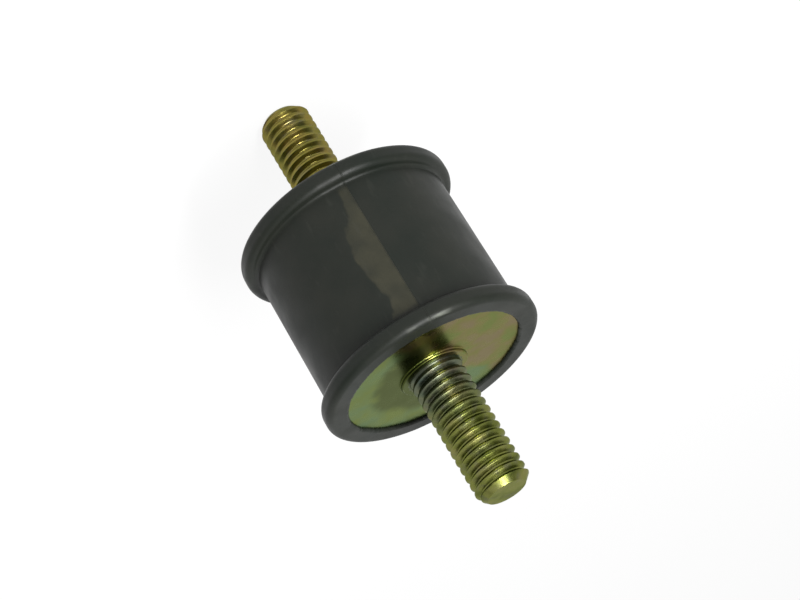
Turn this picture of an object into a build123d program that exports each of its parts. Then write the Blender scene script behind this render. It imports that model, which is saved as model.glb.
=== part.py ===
from build123d import *
import os

# Bobbin vibration mount: a rubber bobbin with a steel plate and a threaded stud bonded into each end.
# Millimetres, +Z up along the studs. The origin is the centre of the lower seating face, so what
# the lower stud is bolted through has its top surface at z = 0.

# Rubber bobbin
seat_to_seat = 21.0  # between the two rubber end faces
body_diameter = 22.5
lip_overhang = 1.25  # how far each lip stands out from the body
lip_thickness = 2.1
lip_edge_radius = 0.75
lip_root_radius = 0.4  # fillet between a lip and the body
window_edge_radius = 0.15  # rounding of the rubber around the bare steel

# End plates
plate_thickness = 1.5
plate_recess = 0.35  # depth of the bare steel below the rubber end face
rim_cover = 1.5  # rubber outside the plate's rim
face_cover = 1.0  # width of the rubber lapped over the plate's outer face
plate_edge_radius = 0.2

# Collar drawn up round the hole in each plate, its rim level with the rubber end face
collar_wall = 0.6
collar_rim_radius = 0.15
collar_root_radius = 0.15

# Studs, M6
thread_diameter = 6.0
stud_length = 15.0  # from the rubber end face
tip_chamfer = 0.8
head_overhang = 1.7  # how far the head stands out from the neck
head_thickness = 2.0
head_edge_radius = 0.4

# Straight knurl on the neck, which is pressed into the plate and stops the stud turning
knurl_count = 24
knurl_depth = 0.2
neck_step = 0.1  # from the thread's crest out to the bottom of the knurl

# Radii and levels of the lower end
body_radius = body_diameter / 2
lip_radius = body_radius + lip_overhang
plate_radius = lip_radius - rim_cover
window_radius = plate_radius - face_cover
thread_radius = thread_diameter / 2
knurl_root_radius = thread_radius + neck_step
knurl_tip_radius = knurl_root_radius + knurl_depth
collar_radius = knurl_tip_radius + collar_wall
head_radius = knurl_tip_radius + head_overhang
plate_back_z = plate_recess + plate_thickness
head_back_z = plate_back_z + head_thickness
tip_z = -stud_length

# Root fillets stop short of the rounded edge that they share a wall with
lip_root_fillet = min(lip_root_radius, 0.9 * (lip_overhang - lip_edge_radius))
collar_root_fillet = min(collar_root_radius, 0.9 * (plate_recess - collar_rim_radius))


def turned(*outline):
    """Solid of revolution about Z from the points (radius, z) of its half section."""
    with BuildPart() as solid:
        with BuildSketch(Plane.XZ):
            with BuildLine():
                Polyline(*outline, close=True)
            make_face()
        revolve(axis=Axis.Z)
    return solid.part


def ring_edges(part, radius, *levels):
    """The circular edges of one radius at the given heights."""
    return [
        edge
        for edge in part.edges().filter_by(GeomType.CIRCLE)
        if abs(edge.radius - radius) < 1e-6
        and any(abs(edge.arc_center.Z - level) < 1e-6 for level in levels)
    ]


def knurled_bar(length):
    """Straight-knurled bar standing on the seating plane."""
    half_step = 180 / knurl_count
    outline = []
    for tooth in range(knurl_count):
        outline.append(Vector(knurl_root_radius, 0).rotate(Axis.Z, (2 * tooth - 1) * half_step))
        outline.append(Vector(knurl_tip_radius, 0).rotate(Axis.Z, 2 * tooth * half_step))
    with BuildPart() as bar:
        with BuildSketch():
            with BuildLine():
                Polyline(*outline, close=True)
            make_face()
        extrude(amount=length)
    return bar.part


def lower_stud():
    """Stud with its flat head behind the plate; the threaded length is a bar at crest diameter."""
    stud = turned(
        (0, tip_z),
        (thread_radius - tip_chamfer, tip_z),
        (thread_radius, tip_z + tip_chamfer),
        (thread_radius, plate_back_z),
        (head_radius, plate_back_z),
        (head_radius, head_back_z),
        (0, head_back_z),
    )
    stud = fillet(ring_edges(stud, head_radius, head_back_z), head_edge_radius)
    return stud + knurled_bar(plate_back_z)


def lower_plate():
    """Blanked disc, its hole drawn out into a collar and broached by the stud's knurl."""
    plate = turned(
        (0, 0),
        (collar_radius, 0),
        (collar_radius, plate_recess),
        (plate_radius, plate_recess),
        (plate_radius, plate_back_z),
        (0, plate_back_z),
    )
    plate = fillet(ring_edges(plate, plate_radius, plate_recess, plate_back_z), plate_edge_radius)
    plate = fillet(ring_edges(plate, collar_radius, 0), collar_rim_radius)
    plate = fillet(ring_edges(plate, collar_radius, plate_recess), collar_root_fillet)
    return plate - knurled_bar(plate_back_z)


def bobbin():
    """Rubber outline: a straight body, a lip round each end and a shallow window in each face."""
    top = seat_to_seat
    solid = turned(
        (0, 0),
        (lip_radius, 0),
        (lip_radius, lip_thickness),
        (body_radius, lip_thickness),
        (body_radius, top - lip_thickness),
        (lip_radius, top - lip_thickness),
        (lip_radius, top),
        (0, top),
    )
    lip_edges = ring_edges(solid, lip_radius, 0, lip_thickness, top - lip_thickness, top)
    solid = fillet(lip_edges, lip_edge_radius)
    lip_roots = ring_edges(solid, body_radius, lip_thickness, top - lip_thickness)
    solid = fillet(lip_roots, lip_root_fillet)
    window = extrude(Circle(window_radius), plate_recess)
    solid = solid - window - upper_end(window)
    return fillet(ring_edges(solid, window_radius, 0, top), window_edge_radius)


def upper_end(part):
    """The same piece turned over to the other end of the mount."""
    return Pos(0, 0, seat_to_seat) * Rot(180, 0, 0) * part


stud = lower_stud()
plate = lower_plate()
inserts = {
    "lower_stud": stud,
    "lower_plate": plate,
    "upper_stud": upper_end(stud),
    "upper_plate": upper_end(plate),
}
rubber = bobbin()
for insert in inserts.values():
    rubber = rubber - insert
pieces = {"rubber_body": rubber, **inserts}

os.makedirs("parts", exist_ok=True)
for name, piece in pieces.items():
    export_step(piece, f"parts/{name}.step")
    print(name, round(piece.volume, 1), "mm3,", len(piece.solids()), "solid")
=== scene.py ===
import math

import bpy
import bmesh
from mathutils import Matrix, Vector, noise


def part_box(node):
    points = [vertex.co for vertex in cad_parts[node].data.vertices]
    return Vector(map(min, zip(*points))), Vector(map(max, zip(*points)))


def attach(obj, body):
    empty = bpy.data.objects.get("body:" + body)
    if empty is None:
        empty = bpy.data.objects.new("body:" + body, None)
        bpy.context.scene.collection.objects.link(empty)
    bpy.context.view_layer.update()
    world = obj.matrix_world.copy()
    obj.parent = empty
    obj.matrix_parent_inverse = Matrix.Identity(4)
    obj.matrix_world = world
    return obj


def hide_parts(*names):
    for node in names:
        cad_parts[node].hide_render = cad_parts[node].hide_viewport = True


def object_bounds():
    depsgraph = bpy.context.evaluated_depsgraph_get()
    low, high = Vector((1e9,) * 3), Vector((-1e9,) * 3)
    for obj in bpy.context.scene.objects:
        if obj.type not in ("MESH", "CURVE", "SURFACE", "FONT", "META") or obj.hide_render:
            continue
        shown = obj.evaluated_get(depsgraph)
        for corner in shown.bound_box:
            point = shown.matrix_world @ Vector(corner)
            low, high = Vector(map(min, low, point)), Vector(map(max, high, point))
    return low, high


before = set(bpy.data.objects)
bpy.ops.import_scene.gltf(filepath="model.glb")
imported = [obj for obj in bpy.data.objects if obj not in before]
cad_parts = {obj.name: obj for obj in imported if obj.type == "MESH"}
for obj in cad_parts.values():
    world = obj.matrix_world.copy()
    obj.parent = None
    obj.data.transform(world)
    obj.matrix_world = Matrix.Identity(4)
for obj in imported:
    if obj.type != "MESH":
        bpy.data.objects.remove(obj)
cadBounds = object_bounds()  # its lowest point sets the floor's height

mm = 0.001
mergeDistance = 0.0001 * mm
scene = bpy.context.scene

# the lower seat is at z = 0, so heights in the lower half are measured from it
rubberLow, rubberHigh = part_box("rubber_body")
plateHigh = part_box("lower_plate")[1]
studLow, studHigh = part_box("lower_stud")
seatToSeat = rubberHigh.z - rubberLow.z
middle = Vector((0, 0, (rubberLow.z + rubberHigh.z) / 2))
lipRadius = rubberHigh.x
plateRadius, plateBack = plateHigh.x, plateHigh.z
headRadius, headBack = studHigh.x, studHigh.z
studLength = rubberLow.z - studLow.z


def newMaterial(name):
    material = bpy.data.materials.new(name)
    material.use_nodes = True
    tree = material.node_tree
    tree.nodes.clear()
    return material, tree


def addNode(tree, kind, inputs=None, **settings):
    # an input is either a fixed value or another node's output, which is linked
    node = tree.nodes.new(kind)
    for key, value in settings.items():
        setattr(node, key, value)
    for socket, value in (inputs or {}).items():
        if isinstance(value, bpy.types.NodeSocket):
            tree.links.new(value, node.inputs[socket])
        else:
            node.inputs[socket].default_value = value
    return node


def doMath(tree, operation, a, b=0.0):
    return addNode(tree, "ShaderNodeMath", {0: a, 1: b}, operation=operation).outputs[0]


def product(tree, first, *others):
    for other in others:
        first = doMath(tree, "MULTIPLY", first, other)
    return first


def largest(tree, first, *others):
    for other in others:
        first = doMath(tree, "MAXIMUM", first, other)
    return first


def swing(tree, value, reach):
    # noise between 0 and 1 turned into a shift either way
    return product(tree, doMath(tree, "SUBTRACT", value, 0.5), reach)


def remap(tree, value, low, high, toLow=0.0, toHigh=1.0, smooth=False):
    inputs = {"Value": value, "From Min": low, "From Max": high, "To Min": toLow, "To Max": toHigh}
    node = addNode(tree, "ShaderNodeMapRange", inputs)
    if smooth:
        node.interpolation_type = "SMOOTHSTEP"
    return node.outputs["Result"]


def mixColor(tree, factor, a, b):
    # 0, 6 and 7 are the node's factor and its two colours
    return addNode(tree, "ShaderNodeMix", {0: factor, 6: a, 7: b}, data_type="RGBA").outputs[2]


def ramp(tree, value, places, colors):
    node = addNode(tree, "ShaderNodeValToRGB", {"Fac": value})
    elements = node.color_ramp.elements
    while len(elements) < len(places):
        elements.new(0.5)
    for element, place, color in zip(elements, places, colors):
        element.position = place
        element.color = (*color, 1)
    return node.outputs["Color"]


def speckle(tree, place, scale, detail=3.0):
    inputs = {"Vector": place, "Scale": scale, "Detail": detail, "Roughness": 0.5}
    return addNode(tree, "ShaderNodeTexNoise", inputs).outputs["Fac"]


def alongAxis(tree, place, share):
    # draws a texture out along the studs
    return addNode(tree, "ShaderNodeMapping", {"Vector": place, "Scale": (1, 1, share)}).outputs["Vector"]


def relief(tree, place, texture, detail=2.0, normal=None):
    # texture is the scale, strength and depth of a bump
    scale, strength, depth = texture
    inputs = {"Height": speckle(tree, place, scale, detail), "Strength": strength, "Distance": depth}
    if normal is not None:
        inputs["Normal"] = normal
    return addNode(tree, "ShaderNodeBump", inputs).outputs["Normal"]


def unevenGloss(tree, place, scale, span):
    return remap(tree, speckle(tree, place, scale), 0.3, 0.7, *span)


def objectPlace(tree):
    place = addNode(tree, "ShaderNodeTexCoord").outputs["Object"]
    axes = addNode(tree, "ShaderNodeSeparateXYZ", {0: place})
    return place, axes.outputs["X"], axes.outputs["Y"], axes.outputs["Z"]


def fromAxis(tree, x, y):
    return doMath(tree, "SQRT", doMath(tree, "ADD", product(tree, x, x), product(tree, y, y)))


def surface(tree, inputs):
    shader = addNode(tree, "ShaderNodeBsdfPrincipled", inputs)
    addNode(tree, "ShaderNodeOutputMaterial", {"Surface": shader.outputs[0]})


def finishMesh(name, bm, material, smoothAngle):
    bmesh.ops.remove_doubles(bm, verts=bm.verts, dist=mergeDistance)
    bmesh.ops.dissolve_degenerate(bm, edges=bm.edges, dist=0.1 * mergeDistance)
    bmesh.ops.recalc_face_normals(bm, faces=bm.faces)
    for face in bm.faces:
        face.smooth = True
    for edge in bm.edges:
        if len(edge.link_faces) == 2 and edge.calc_face_angle() > math.radians(smoothAngle):
            edge.smooth = False
    mesh = bpy.data.meshes.new(name)
    bm.to_mesh(mesh)
    bm.free()
    mesh.materials.append(material)
    piece = bpy.data.objects.new(name, mesh)
    scene.collection.objects.link(piece)
    return piece


def skinRows(bm, rows, climb=0):
    # joins rows of vertices that each go once round the axis; a helix comes back climb rows higher
    for k in range(len(rows) - 1):
        columns = len(rows[k])
        for i in range(columns):
            j = (i + 1) % columns
            rise = climb if j == 0 else 0
            if k + rise + 1 < len(rows):
                lower, upper = rows[k + rise], rows[k + rise + 1]
                bm.faces.new((rows[k][i], lower[j], upper[j], rows[k + 1][i]))


def closeRow(bm, row, z, flip=False):
    # a flat fan from the row to a point on the axis
    centre = bm.verts.new((0, 0, z))
    for i in range(len(row)):
        j = (i + 1) % len(row)
        corners = (row[j], row[i], centre) if flip else (row[i], row[j], centre)
        bm.faces.new(corners)


def arc(centreR, centreZ, radius, start, end, steps):
    points = []
    for i in range(steps + 1):
        angle = math.radians(start + (end - start) * i / steps)
        points.append((centreR + radius * math.cos(angle), centreZ + radius * math.sin(angle)))
    return points


def straight(a, b, steps):
    # the points between a and b, without the two ends
    points = []
    for i in range(1, steps):
        share = i / steps
        points.append((a[0] + (b[0] - a[0]) * share, a[1] + (b[1] - a[1]) * share))
    return points


print("helpers ready")


rubber = {
    "bodyRadius": 11.25 * mm,
    "lipThickness": 2.1 * mm,
    "lipEdge": 0.75 * mm,
    "lipRoot": 0.4 * mm,
    "windowRadius": 10.0 * mm,  # of the bare steel
    "windowEdge": 0.3 * mm,
    "raggedWindow": 0.14 * mm,  # how far the rubber's edge wanders on the steel
    "windowWaves": (4, 0.6),  # how close together and how strong, as are the teeth
    "windowTeeth": (34, 1.3),
    "recess": 0.35 * mm,  # depth of the bare steel
    "flashWidth": 0.1 * mm,
    "flashHeight": 0.03 * mm,
    "flashUneven": 0.6,  # share of its height
    "matchStep": 0.06 * mm,  # how far the two mould halves miss each other
    "matchFade": 6.0,  # degrees over which that step dies away
    "trimAngle": 13.0,  # width of the flat left where the flash was trimmed, in degrees
    "trimUneven": 2.0,  # degrees
    "trimDepth": 0.06 * mm,
    "innerRing": 0.4,  # first ring of the hidden flat behind the stud's head, as a share of that head
    "columns": 320,
    "partingStep": 0.12,  # degrees between the extra columns at a parting line
    "partingColumns": 12,  # extra columns on each side of it
    "windowSteps": 6,
    "faceSteps": 8,
    "edgeSteps": 10,
    "rimSteps": 4,
    "rootSteps": 8,
    "bodySteps": 34,  # from a lip to mid height
    "smoothAngle": 35,
    "darkBloom": (0.0065, 0.0085, 0.0065),
    "paleBloom": (0.010, 0.011, 0.0085),
    # the pale band beside each parting line is partly the trimmed flash's own tone and partly painted
    # highlight
    "bandHeights": (3 * mm, 17 * mm),
    "bandAngles": (9.0, 14.5),  # width of the pale band at those heights, in degrees
    "bandTear": 22.0,  # how far its torn side wanders, in degrees
    "bandBlur": (0.8, 0.2),  # of its torn and its straight side, in degrees either way
    "bandStrength": (0.45, 0.95),  # from its faintest patches to its palest
    "bandEnd": 0.3 * mm,  # the band begins this far from a lip
    "bandFade": 0.6 * mm,
    "bandAndHighlightColor": (0.022, 0.0215, 0.0135, 1),
    "dustShare": 0.25,
    "dustColor": (0.028, 0.029, 0.024, 1),
    "chafeAndHighlightAngles": (13.0, 5.0),  # the lips carry a thin pale line, partly wear and partly painted highlight, this near to the parting lines, in degrees
    "chafeAndHighlightColor": (0.075, 0.08, 0.066, 1),
    "roughness": (0.36, 0.5),
    "specular": 0.15,
    "grain": (5200.0, 0.25, 0.03 * mm),  # scale, strength and depth of the bump
    "swell": (240.0, 0.2, 0.1 * mm),
}


def rubberProfile():
    # half section of the lower half, from the axis behind the stud's head out and up to mid height
    r = rubber
    window, body, root = r["windowRadius"], r["bodyRadius"], r["lipRoot"]
    edge, inner, thickness = r["lipEdge"], r["windowEdge"], r["lipThickness"]
    edgeCentre = lipRadius - edge
    points = [(r["innerRing"] * headRadius, headBack), (headRadius, headBack)]
    points += [(headRadius, plateBack), (plateRadius, plateBack)]
    points += [(plateRadius, r["recess"]), (window, r["recess"])]
    points += arc(window + inner, inner, inner, 180, 270, r["windowSteps"])
    points += straight((window + inner, 0), (edgeCentre, 0), r["faceSteps"])
    points += arc(edgeCentre, edge, edge, -90, 0, r["edgeSteps"])
    points += straight((lipRadius, edge), (lipRadius, thickness - edge), r["rimSteps"])
    points += arc(edgeCentre, thickness - edge, edge, 0, 90, r["edgeSteps"])
    points += arc(body + root, thickness + root, root, 270, 180, r["rootSteps"])
    points += straight((body, thickness + root), (body, middle.z), r["bodySteps"])
    return points


def rubberAngles():
    # evenly round, and close together at the two parting lines
    angles = [360 * i / rubber["columns"] for i in range(rubber["columns"])]
    extra = rubber["partingColumns"]
    for line in (90, 270):
        angles += [line + rubber["partingStep"] * k for k in range(-extra, extra + 1) if k]
    return sorted(set(round(a, 4) for a in angles))


def partingOffset(r, angle, z):
    # radial change of the skin near the mould's parting plane, x = 0
    line = 90 if math.sin(math.radians(angle)) > 0 else 270
    side = (angle - line + 180) % 360 - 180
    towardsX = side if line == 270 else -side  # degrees towards +X from the line
    along = math.radians(towardsX) * r
    uneven = rubber["flashUneven"] * noise.noise(Vector((z * 400, line, 0)))
    ridge = math.exp(-((along / rubber["flashWidth"]) ** 2)) * (1 + uneven)
    change = rubber["flashHeight"] * ridge
    flat = rubber["trimAngle"] + rubber["trimUneven"] * noise.noise(Vector((z * 600, line, 7)))
    if 0 < towardsX < flat:
        share = towardsX / flat
        change -= rubber["trimDepth"] * 4 * share * (1 - share)
    if towardsX < 0:
        change -= rubber["matchStep"] * math.exp(towardsX / rubber["matchFade"])
    return change


def raggedOffset(x, y, z):
    # slow waves with small torn teeth on them, where the rubber ends on the bare steel
    wave, waveShare = rubber["windowWaves"]
    tooth, toothShare = rubber["windowTeeth"]
    waves = noise.fractal(Vector((x * wave, y * wave, z * 50)), 1.0, 2.0, 3)
    teeth = abs(noise.noise(Vector((x * tooth, y * tooth, z * 50))))
    return rubber["raggedWindow"] * (waveShare * waves + toothShare * teeth)


def buildRubber(material):
    lower = rubberProfile()
    upper = [(r, seatToSeat - z) for r, z in reversed(lower)][1:]
    profile = lower + upper
    angles = rubberAngles()
    bm = bmesh.new()
    rows = []
    for r, z in profile:
        onWindow = abs(r - rubber["windowRadius"]) < 1.1 * rubber["windowEdge"]
        outside = r > rubber["bodyRadius"] - 0.001 * mm
        row = []
        for a in angles:
            x, y = math.cos(math.radians(a)), math.sin(math.radians(a))
            radius = r
            if onWindow:
                radius += raggedOffset(x, y, z)
            elif outside:
                radius += partingOffset(r, a, z)
            row.append(bm.verts.new((radius * x, radius * y, z)))
        rows.append(row)
    skinRows(bm, rows)
    closeRow(bm, rows[0], profile[0][1], flip=True)
    closeRow(bm, rows[-1], profile[-1][1])
    return finishMesh("rubberBobbin", bm, material, rubber["smoothAngle"])


def trimmedBandAndHighlight(tree, place, z, turn, torn):
    # share of the pale band, partly the trimmed flash's own tone and partly painted highlight: torn on one
    # side, straight at the parting line
    start = rubber["lipThickness"] + rubber["bandEnd"]
    full = start + rubber["bandFade"]
    tornBlur, straightBlur = rubber["bandBlur"]
    width = remap(tree, z, *rubber["bandHeights"], *rubber["bandAngles"])
    reach = doMath(tree, "ADD", turn, swing(tree, torn, rubber["bandTear"]))
    tornSide = remap(tree, doMath(tree, "SUBTRACT", reach, width), tornBlur, -tornBlur)
    straightSide = remap(tree, turn, -straightBlur, straightBlur)
    lowerEnd = remap(tree, z, start, full)
    upperEnd = remap(tree, z, seatToSeat - start, seatToSeat - full)
    patchy = remap(tree, speckle(tree, place, 480.0), 0.3, 0.65, *rubber["bandStrength"])
    return product(tree, tornSide, straightSide, lowerEnd, upperEnd, patchy)


def chafedLipAndHighlight(tree, x, y, z, turn, torn):
    # share of a thin pale line, partly wear and partly painted highlight, halfway round the rounded edge
    # of each lip's end face
    fromMiddle = doMath(tree, "ABSOLUTE", doMath(tree, "SUBTRACT", z, middle.z))
    fromSeat = doMath(tree, "SUBTRACT", seatToSeat / 2, fromMiddle)
    edgeLine = lipRadius - (2 - math.sqrt(2)) * rubber["lipEdge"]
    past = doMath(tree, "SUBTRACT", fromAxis(tree, x, y), fromSeat)
    offLine = doMath(tree, "ABSOLUTE", doMath(tree, "SUBTRACT", past, edgeLine))
    onLine = remap(tree, offLine, 0.09 * mm, 0.03 * mm)
    nearParting = remap(tree, doMath(tree, "ABSOLUTE", turn), *rubber["chafeAndHighlightAngles"])
    return product(tree, onLine, nearParting, remap(tree, torn, 0.4, 0.55))


def rubberFinish():
    material, tree = newMaterial("mouldedRubber")
    place, x, y, z = objectPlace(tree)
    turn = doMath(tree, "ARCTAN2", x, doMath(tree, "ABSOLUTE", y))
    turn = product(tree, turn, math.degrees(1))  # degrees from the nearer parting line
    torn = speckle(tree, alongAxis(tree, place, 0.6), 340.0)
    blooms = (rubber["darkBloom"], rubber["paleBloom"])
    color = ramp(tree, speckle(tree, place, 190.0, 5.0), (0.3, 0.7), blooms)
    # the pale band: partly trimmed flash, partly painted highlight
    color = mixColor(tree, trimmedBandAndHighlight(tree, place, z, turn, torn), color, rubber["bandAndHighlightColor"])
    dust = remap(tree, speckle(tree, alongAxis(tree, place, 0.25), 1400.0, 2.0), 0.62, 0.8)
    color = mixColor(tree, product(tree, dust, rubber["dustShare"]), color, rubber["dustColor"])
    # a thin pale line on the lips' edges, partly wear and partly painted highlight
    color = mixColor(tree, chafedLipAndHighlight(tree, x, y, z, turn, torn), color, rubber["chafeAndHighlightColor"])
    grain = relief(tree, place, rubber["grain"], 3.0)
    surface(
        tree,
        {
            "Base Color": color,
            "Roughness": unevenGloss(tree, place, 320.0, rubber["roughness"]),
            "Normal": relief(tree, place, rubber["swell"], normal=grain),
            "Specular IOR Level": rubber["specular"],
        },
    )
    return material


bobbin = buildRubber(rubberFinish())
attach(bobbin, "root")
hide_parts("rubber_body")
print("rubber bobbin made", len(bobbin.data.polygons), "faces")


stud = {
    "crestRadius": 3.0 * mm,
    "pitch": 1.0 * mm,
    "depth": 0.43 * mm,
    "crestFlat": 0.18,  # share of the pitch
    "rootFlat": 0.16,
    "rounding": 0.25,  # how much the flank's two corners are eased
    "firstCrest": 0.25,  # turns the thread about the axis, as a share of a turn
    "runOut": 0.6 * mm,  # the thread grows to its full depth over this length
    "tipRadius": 2.2 * mm,
    "columns": 96,
    "knurlRoot": 3.1 * mm,
    "knurlTip": 3.3 * mm,
    "knurlTeeth": 24,
    "headEdge": 0.4 * mm,
    "innerRing": 0.6,  # first ring of the head's back, as a share of its radius
    "smoothAngle": 40,
    "silvery": ((0.08, 0.105, 0.085), (0.125, 0.14, 0.095), (0.125, 0.11, 0.065)),
    "greenGold": ((0.085, 0.10, 0.022), (0.17, 0.185, 0.045), (0.22, 0.21, 0.075)),
    "gold": ((0.13, 0.13, 0.03), (0.22, 0.19, 0.045), (0.25, 0.185, 0.05)),
    "silveryFade": (1 * mm, 7 * mm),  # the upper stud is silvery by its seat, partly its own tone and partly painted light, and fades up to here
    "tarnishShare": 0.45,
    "tarnish": (0.13, 0.12, 0.11, 1),
    "roughness": (0.26, 0.38),
    "scratch": (5000.0, 0.2, 0.02 * mm),
    "tint": (0.66, 0.68, 0.56, 1),
}
crestEnd = stud["crestFlat"] / 2  # both are shares of the pitch, from the middle of the crest
rootStart = 0.5 - stud["rootFlat"] / 2


def threadDepth(phase):
    # 0 on the crest and 1 at the root, with both corners eased
    fromCrest = abs(phase - round(phase))
    share = min(max((fromCrest - crestEnd) / (rootStart - crestEnd), 0.0), 1.0)
    eased = 0.5 - 0.5 * math.cos(math.pi * share)
    return (1 - stud["rounding"]) * share + stud["rounding"] * eased


def studRadius(z, turn):
    # z is measured from the seat towards the tip
    phase = z / stud["pitch"] - turn + stud["firstCrest"]
    fade = min(max(z / stud["runOut"], 0.0), 1.0)
    fade = fade * fade * (3 - 2 * fade)
    radius = stud["crestRadius"] - stud["depth"] * threadDepth(phase) * fade
    chamfer = stud["tipRadius"] + (studLength - z)
    return min(radius, chamfer)


def threadSteps():
    # rows across one pitch, closest together at the corners of the flanks
    half = [0.0, crestEnd, rootStart, 0.5]
    half += [crestEnd + (rootStart - crestEnd) * share for share in (0.08, 0.2, 0.5, 0.8, 0.92)]
    return sorted(set(half + [1 - s for s in half if 0 < s < 0.5]))


def headRows():
    # radius and height of each vertex in the rows round the head, from behind it to the plate
    edge = stud["headEdge"]
    outline = [(stud["innerRing"] * headRadius, -headBack), (headRadius - edge, -headBack)]
    outline += [(headRadius, edge - headBack), (headRadius, -plateBack)]
    return [[point] * stud["columns"] for point in outline]


def knurlRow(z):
    row = []
    for i in range(stud["columns"]):
        tooth = abs((i / stud["columns"] * stud["knurlTeeth"]) % 1 - 0.5) * 2
        row.append((stud["knurlRoot"] + (stud["knurlTip"] - stud["knurlRoot"]) * tooth, z))
    return row


def threadRow(start):
    # climbs one pitch as it goes round, from a height that is given in pitches
    row = []
    for i in range(stud["columns"]):
        turn = i / stud["columns"]
        z = min(max((start + turn) * stud["pitch"], 0.0), studLength)
        row.append((studRadius(z, turn), z))
    return row


def placeRow(bm, points, seatZ, direction):
    # turning the stud end for end keeps the thread right-handed
    row = []
    for i, (r, z) in enumerate(points):
        angle = 2 * math.pi * i / len(points)
        place = (r * math.cos(angle), direction * r * math.sin(angle), seatZ + direction * z)
        row.append(bm.verts.new(place))
    return row


def buildStud(name, material, seatZ, direction):
    steps = threadSteps()
    lastTurn = round(studLength / stud["pitch"]) + 1
    neck = headRows() + [knurlRow(-plateBack), knurlRow(0.0)]
    thread = [threadRow(turn + step) for turn in range(-1, lastTurn + 1) for step in steps]
    bm = bmesh.new()
    neck = [placeRow(bm, points, seatZ, direction) for points in neck]
    thread = [placeRow(bm, points, seatZ, direction) for points in thread]
    skinRows(bm, neck + thread[:1])
    skinRows(bm, thread, climb=len(steps))
    closeRow(bm, neck[0], seatZ - direction * headBack, flip=True)
    closeRow(bm, thread[-1], seatZ + direction * studLength)
    return finishMesh(name, bm, material, stud["smoothAngle"])


def studFinish():
    # the upper stud goes from silvery, which is partly painted light, to green gold, and the lower one is
    # a warmer gold
    material, tree = newMaterial("yellowZincStud")
    place, _, _, z = objectPlace(tree)
    patches = speckle(tree, place, 420.0)
    silvery, greenGold, gold = (
        ramp(tree, patches, (0.3, 0.5, 0.7), stud[tone]) for tone in ("silvery", "greenGold", "gold")
    )
    silveryFrom, silveryTo = stud["silveryFade"]
    alongUpper = remap(tree, z, rubberHigh.z + silveryFrom, rubberHigh.z + silveryTo)
    isUpper = remap(tree, z, middle.z - 1 * mm, middle.z + 1 * mm)
    # the silvery part by the upper seat is partly painted light
    tone = mixColor(tree, isUpper, gold, mixColor(tree, alongUpper, silvery, greenGold))
    tarnished = remap(tree, speckle(tree, place, 900.0, 4.0), 0.5, 0.72)
    color = mixColor(tree, product(tree, tarnished, stud["tarnishShare"]), tone, stud["tarnish"])
    surface(
        tree,
        {
            "Base Color": color,
            "Metallic": 1.0,
            "Roughness": unevenGloss(tree, place, 1500.0, stud["roughness"]),
            "Normal": relief(tree, alongAxis(tree, place, 0.2), stud["scratch"]),
            "Specular Tint": stud["tint"],
        },
    )
    return material


studMaterial = studFinish()
for name, node, seatZ, direction in (
    ("upperStudThread", "upper_stud", rubberHigh.z, 1),
    ("lowerStudThread", "lower_stud", rubberLow.z, -1),
):
    piece = buildStud(name, studMaterial, seatZ, direction)
    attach(piece, "root")
    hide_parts(node)
    print(name, "made", len(piece.data.polygons), "faces")


plateZinc = {
    "paleGreen": ((0.10, 0.155, 0.075), (0.12, 0.15, 0.035)),
    "tan": ((0.12, 0.14, 0.03), (0.155, 0.13, 0.04), (0.17, 0.12, 0.065)),
    "tanSlope": 0.75,  # of the line where the green turns to tan
    "tanStart": -1.8 * mm,
    "tanFull": -3.8 * mm,
    "tanSwing": 14 * mm,  # how far that line wanders
    "shadeBesideStud": (0.048, 0.06, 0.013, 1),  # painted shade: the dark olive patch beside the stud
    "shadeBesideStudEdge": 8.0 * mm,
    "shadeBesideStudFull": 6.3 * mm,
    "shadeBesideStudSide": (-1 * mm, 2 * mm),  # it fades in towards +X over this width
    "shadeBesideStudSwing": 3 * mm,
    "roughness": (0.24, 0.34),
    "wave": (350.0, 0.25, 0.05 * mm),
    "tint": (0.86, 0.92, 0.74, 1),
}


def plateFinish():
    material, tree = newMaterial("yellowZincPlate")
    place, x, y, _ = objectPlace(tree)
    wander = speckle(tree, place, 330.0)
    coarse = speckle(tree, place, 130.0, 2.0)
    paleGreen = ramp(tree, wander, (0.35, 0.65), plateZinc["paleGreen"])
    tan = ramp(tree, wander, (0.38, 0.5, 0.62), plateZinc["tan"])
    across = doMath(tree, "ADD", x, product(tree, y, plateZinc["tanSlope"]))
    across = doMath(tree, "ADD", across, swing(tree, coarse, plateZinc["tanSwing"]))
    isTan = remap(tree, across, plateZinc["tanStart"], plateZinc["tanFull"], smooth=True)
    reach = doMath(tree, "ADD", fromAxis(tree, x, y), swing(tree, wander, plateZinc["shadeBesideStudSwing"]))
    nearStud = remap(tree, reach, plateZinc["shadeBesideStudEdge"], plateZinc["shadeBesideStudFull"], smooth=True)
    oneSide = remap(tree, x, *plateZinc["shadeBesideStudSide"], smooth=True)
    color = mixColor(tree, isTan, paleGreen, tan)
    # painted shade beside the stud, on one side of it
    color = mixColor(tree, product(tree, nearStud, oneSide), color, plateZinc["shadeBesideStud"])
    surface(
        tree,
        {
            "Base Color": color,
            "Metallic": 1.0,
            "Roughness": unevenGloss(tree, place, 500.0, plateZinc["roughness"]),
            "Normal": relief(tree, place, plateZinc["wave"]),
            "Specular Tint": plateZinc["tint"],
        },
    )
    return material


plateMaterial = plateFinish()
for node in ("upper_plate", "lower_plate"):
    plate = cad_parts[node]
    plate.data.materials.clear()
    plate.data.materials.append(plateMaterial)
print("plates finished")


view = {
    "lens": 81.7,
    "distance": 192.7 * mm,
    "elevation": 25.04,
    "turn": 11.0,  # puts the parting line to one side of the nearest edge of the body
    "roll": 148.73,
    "right": 1.256 * mm,
    "up": 0.513 * mm,
    "clipStart": 5 * mm,
}


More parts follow.
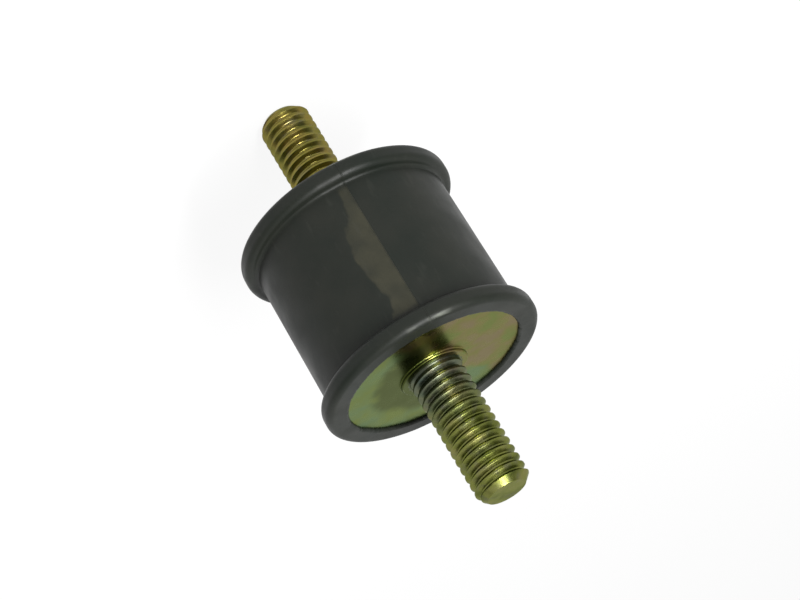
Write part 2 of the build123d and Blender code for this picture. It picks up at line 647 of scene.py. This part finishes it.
def placeCamera():
    elevation, turn = math.radians(view["elevation"]), math.radians(view["turn"])
    roll = math.radians(view["roll"])
    around = Matrix.Rotation(turn, 3, "Z")
    forward = around @ Vector((0, math.cos(elevation), -math.sin(elevation)))
    level = around @ Vector((1, 0, 0))
    above = level.cross(forward)
    right = level * math.cos(roll) + above * math.sin(roll)
    up = -level * math.sin(roll) + above * math.cos(roll)
    position = middle - forward * view["distance"] + right * view["right"] - up * view["up"]
    data = bpy.data.cameras.new("productCamera")
    data.lens = view["lens"]
    data.clip_start = view["clipStart"]
    camera = bpy.data.objects.new("productCamera", data)
    axes = Matrix((right, up, -forward)).transposed().to_4x4()
    camera.matrix_world = Matrix.Translation(position) @ axes
    scene.collection.objects.link(camera)
    scene.camera = camera
    return Vector((forward.x, forward.y, 0)).normalized()


levelView = placeCamera()  # the way the camera looks, without its tilt
print("camera placed")


studio = {
    "floorRadius": 3.0,
    "floorSides": 64,
    "floorGrey": 0.8,
    "whiteShare": 0.9,  # how much of the floor is plain white; the rest carries the shadow
    "dimRoom": 0.22,  # the room behind the camera, as the metal shows it
    "backdropStart": -0.1,  # the white backdrop goes from here to full, 1 being straight behind the mount
    "backdropFull": 0.5,
    "fill": 0.45,
    "softboxes": {  # degrees, metres and watts
        "keySoftbox": {
            "azimuth": -22, "elevation": 49, "distance": 0.35, "width": 0.09, "height": 0.27, "watts": 3.2
        },
        "topSoftbox": {
            "azimuth": 60, "elevation": 65, "distance": 0.35, "width": 0.25, "height": 0.25, "watts": 0.15
        },
    },
}


def grey(level):
    return (level, level, level, 1)


def whiteRays(tree):
    # the camera's own rays, and with them those from gloss and glass, which show the white surroundings
    path = addNode(tree, "ShaderNodeLightPath").outputs
    toCamera = path["Is Camera Ray"]
    return toCamera, largest(tree, toCamera, path["Is Glossy Ray"], path["Is Transmission Ray"])


def buildFloor():
    bm = bmesh.new()
    bmesh.ops.create_circle(bm, cap_ends=True, segments=studio["floorSides"], radius=studio["floorRadius"])
    mesh = bpy.data.meshes.new("floor")
    bm.to_mesh(mesh)
    bm.free()
    floor = bpy.data.objects.new("floor", mesh)
    floor.location.z = cadBounds[0][2]
    scene.collection.objects.link(floor)
    material, tree = newMaterial("paleFloor")
    shown = whiteRays(tree)[1]
    diffuse = addNode(tree, "ShaderNodeBsdfDiffuse", {"Color": grey(studio["floorGrey"])})
    glow = addNode(tree, "ShaderNodeEmission", {"Color": grey(1), "Strength": 1.0})
    share = product(tree, shown, studio["whiteShare"])
    inputs = {0: share, 1: diffuse.outputs[0], 2: glow.outputs[0]}
    mixed = addNode(tree, "ShaderNodeMixShader", inputs)
    addNode(tree, "ShaderNodeOutputMaterial", {"Surface": mixed.outputs[0]})
    mesh.materials.append(material)


def lightWorld():
    # the white backdrop stands behind the mount, and the room on the other side is dim
    world = bpy.data.worlds.new("studio")
    scene.world = world
    world.use_nodes = True
    tree = world.node_tree
    tree.nodes.clear()
    toCamera, shown = whiteRays(tree)
    direction = addNode(tree, "ShaderNodeTexCoord").outputs["Generated"]
    inputs = {0: direction, 1: levelView}
    behind = addNode(tree, "ShaderNodeVectorMath", inputs, operation="DOT_PRODUCT").outputs["Value"]
    backdrop = remap(tree, behind, studio["backdropStart"], studio["backdropFull"], smooth=True)
    white = largest(tree, toCamera, backdrop)
    room = mixColor(tree, white, grey(studio["dimRoom"]), grey(1))
    color = mixColor(tree, shown, grey(studio["fill"]), room)
    background = addNode(tree, "ShaderNodeBackground", {"Color": color, "Strength": 1.0})
    addNode(tree, "ShaderNodeOutputWorld", {"Surface": background.outputs[0]})


def addSoftbox(name, azimuth, elevation, distance, width, height, watts):
    # azimuth is measured from the camera's side of the mount, towards +X
    out = Matrix.Rotation(math.radians(azimuth), 3, "Z") @ -levelView
    lift = math.radians(elevation)
    place = middle + distance * (out * math.cos(lift) + Vector((0, 0, math.sin(lift))))
    data = bpy.data.lights.new(name, "AREA")
    data.shape = "RECTANGLE"
    data.size, data.size_y = width, height
    data.energy = watts
    lamp = bpy.data.objects.new(name, data)
    lamp.location = place
    lamp.rotation_euler = (middle - place).to_track_quat("-Z", "Y").to_euler()
    lamp.visible_camera = False
    scene.collection.objects.link(lamp)


buildFloor()
lightWorld()
for name, softbox in studio["softboxes"].items():
    addSoftbox(name, **softbox)
scene.view_settings.view_transform = "Standard"
print("studio lit")
